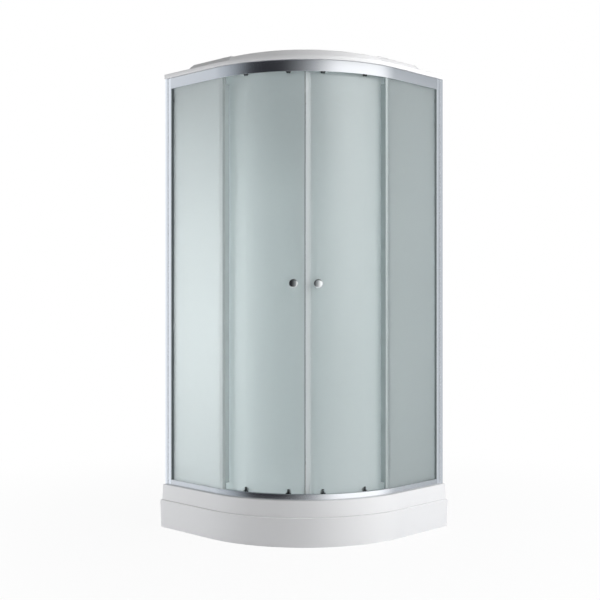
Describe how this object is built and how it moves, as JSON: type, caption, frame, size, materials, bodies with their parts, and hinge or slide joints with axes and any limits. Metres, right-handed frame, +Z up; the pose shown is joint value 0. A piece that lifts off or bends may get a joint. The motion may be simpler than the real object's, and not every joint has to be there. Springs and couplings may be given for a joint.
{
  "type": "quadrant shower enclosure",
  "caption": "Corner shower enclosure with a low stepped tray, curved sliding frosted glass doors, flat side panes, aluminium rails and a moulded roof.",
  "frame": {"origin": "bottom centre of the square that the tray stands in, on the floor", "axes": "+Z up; the left wall is at -X and the back wall at +Y, and the curved front faces +X and -Y"},
  "size_m": [0.9, 0.9, 2.027],
  "materials": {
    "white_acrylic": "gloss moulded",
    "white_panel": "satin sheet",
    "aluminium": "satin polished",
    "frosted_glass": "satin etched",
    "clear_seal": "clear extruded",
    "magnet_seal": "milky extruded",
    "dark_rubber": "matte",
    "dark_plastic": "moulded",
    "wheel_plastic": "moulded",
    "chrome": "mirror",
    "steel": "zinc plated",
    "painted_steel": "powder coated",
    "pipe_plastic": "moulded"
  },
  "bodies": {
    "root": {"tray_shell": "white_acrylic", "tray_apron": "white_acrylic", "apron_blocks": "pipe_plastic", "support_bars": "painted_steel", "foot_studs": "steel", "foot_nuts": "steel", "foot_pads": "dark_plastic", "drain_body": "pipe_plastic", "drain_seal": "dark_rubber", "drain_nut": "pipe_plastic", "drain_cover": "chrome", "lower_rail": "aluminium", "upper_rail": "aluminium", "track_stops": "dark_rubber", "glazing_gaskets": "dark_rubber", "rear_panel_back": "white_panel", "rear_panel_left": "white_panel", "rear_corner_post": "aluminium", "roof_shell": "white_acrylic", "frame_screws": "steel", "wall_profile_right": "aluminium", "stile_right": "aluminium", "bead_right": "dark_rubber", "fixed_glass_right": "frosted_glass", "fixed_edge_seal_right": "clear_seal", "wall_profile_left": "aluminium", "stile_left": "aluminium", "bead_left": "dark_rubber", "fixed_glass_left": "frosted_glass", "fixed_edge_seal_left": "clear_seal"},
    "door_right": {"door_glass_right": "frosted_glass", "meeting_seal_right": "magnet_seal", "trailing_seal_right": "clear_seal", "upper_roller_brackets_right": "dark_plastic", "upper_roller_bolts_right": "chrome", "lower_roller_bolts_right": "chrome", "knob_outer_right": "chrome", "knob_inner_right": "chrome"},
    "upper_wheel_right_lead": {"upper_wheel_right_lead": "wheel_plastic"},
    "release_hook_right_lead": {"release_hook_right_lead": "dark_plastic"},
    "lower_wheel_right_lead": {"lower_wheel_right_lead": "wheel_plastic"},
    "upper_wheel_right_trail": {"upper_wheel_right_trail": "wheel_plastic"},
    "release_hook_right_trail": {"release_hook_right_trail": "dark_plastic"},
    "lower_wheel_right_trail": {"lower_wheel_right_trail": "wheel_plastic"},
    "door_left": {"door_glass_left": "frosted_glass", "meeting_seal_left": "magnet_seal", "trailing_seal_left": "clear_seal", "upper_roller_brackets_left": "dark_plastic", "upper_roller_bolts_left": "chrome", "lower_roller_bolts_left": "chrome", "knob_outer_left": "chrome", "knob_inner_left": "chrome"},
    "upper_wheel_left_lead": {"upper_wheel_left_lead": "wheel_plastic"},
    "release_hook_left_lead": {"release_hook_left_lead": "dark_plastic"},
    "lower_wheel_left_lead": {"lower_wheel_left_lead": "wheel_plastic"},
    "upper_wheel_left_trail": {"upper_wheel_left_trail": "wheel_plastic"},
    "release_hook_left_trail": {"release_hook_left_trail": "dark_plastic"},
    "lower_wheel_left_trail": {"lower_wheel_left_trail": "wheel_plastic"}
  },
  "joints": [
    {"name": "right_door_slide", "type": "hinge", "parent": "root", "child": "door_right", "pos_m": [-0.116, 0.116, 1.07], "axis": [0, 0, 1], "range_deg": [0, 28]},
    {"name": "upper_wheel_right_lead_spin", "type": "hinge", "parent": "door_right", "child": "upper_wheel_right_lead", "pos_m": [0.2969, -0.19514, 1.9693], "axis": [0.7986, -0.6018, 0], "continuous": true},
    {"name": "release_hook_right_lead_press", "type": "slide", "parent": "door_right", "child": "release_hook_right_lead", "axis": [0, 0, -1], "range_m": [0, 0.004], "stiffness_N_per_m": 300, "springref_m": -0.003},
    {"name": "lower_wheel_right_lead_spin", "type": "hinge", "parent": "release_hook_right_lead", "child": "lower_wheel_right_lead", "pos_m": [0.2969, -0.19514, 0.1997], "axis": [0.7986, -0.6018, 0], "continuous": true},
    {"name": "upper_wheel_right_trail_spin", "type": "hinge", "parent": "door_right", "child": "upper_wheel_right_trail", "pos_m": [0.38097, -0.02651, 1.9693], "axis": [0.9613, -0.2756, 0], "continuous": true},
    {"name": "release_hook_right_trail_press", "type": "slide", "parent": "door_right", "child": "release_hook_right_trail", "axis": [0, 0, -1], "range_m": [0, 0.004], "stiffness_N_per_m": 300, "springref_m": -0.003},
    {"name": "lower_wheel_right_trail_spin", "type": "hinge", "parent": "release_hook_right_trail", "child": "lower_wheel_right_trail", "pos_m": [0.38097, -0.02651, 0.1997], "axis": [0.9613, -0.2756, 0], "continuous": true},
    {"name": "left_door_slide", "type": "hinge", "parent": "root", "child": "door_left", "pos_m": [-0.116, 0.116, 1.07], "axis": [0, 0, -1], "range_deg": [0, 28]},
    {"name": "upper_wheel_left_lead_spin", "type": "hinge", "parent": "door_left", "child": "upper_wheel_left_lead", "pos_m": [0.19514, -0.2969, 1.9693], "axis": [0.6018, -0.7986, 0], "continuous": true},
    {"name": "release_hook_left_lead_press", "type": "slide", "parent": "door_left", "child": "release_hook_left_lead", "axis": [0, 0, -1], "range_m": [0, 0.004], "stiffness_N_per_m": 300, "springref_m": -0.003},
    {"name": "lower_wheel_left_lead_spin", "type": "hinge", "parent": "release_hook_left_lead", "child": "lower_wheel_left_lead", "pos_m": [0.19514, -0.2969, 0.1997], "axis": [0.6018, -0.7986, 0], "continuous": true},
    {"name": "upper_wheel_left_trail_spin", "type": "hinge", "parent": "door_left", "child": "upper_wheel_left_trail", "pos_m": [0.02651, -0.38097, 1.9693], "axis": [0.2756, -0.9613, 0], "continuous": true},
    {"name": "release_hook_left_trail_press", "type": "slide", "parent": "door_left", "child": "release_hook_left_trail", "axis": [0, 0, -1], "range_m": [0, 0.004], "stiffness_N_per_m": 300, "springref_m": -0.003},
    {"name": "lower_wheel_left_trail_spin", "type": "hinge", "parent": "release_hook_left_trail", "child": "lower_wheel_left_trail", "pos_m": [0.02651, -0.38097, 0.1997], "axis": [0.2756, -0.9613, 0], "continuous": true}
  ],
  "couplings": [
    {"joint": "upper_wheel_right_lead_spin", "follows": "right_door_slide", "ratio": -51.7},
    {"joint": "lower_wheel_right_lead_spin", "follows": "right_door_slide", "ratio": 64.625},
    {"joint": "upper_wheel_right_trail_spin", "follows": "right_door_slide", "ratio": -51.7},
    {"joint": "lower_wheel_right_trail_spin", "follows": "right_door_slide", "ratio": 64.625},
    {"joint": "upper_wheel_left_lead_spin", "follows": "left_door_slide", "ratio": 51.7},
    {"joint": "lower_wheel_left_lead_spin", "follows": "left_door_slide", "ratio": -64.625},
    {"joint": "upper_wheel_left_trail_spin", "follows": "left_door_slide", "ratio": 51.7},
    {"joint": "lower_wheel_left_trail_spin", "follows": "left_door_slide", "ratio": -64.625}
  ]
}
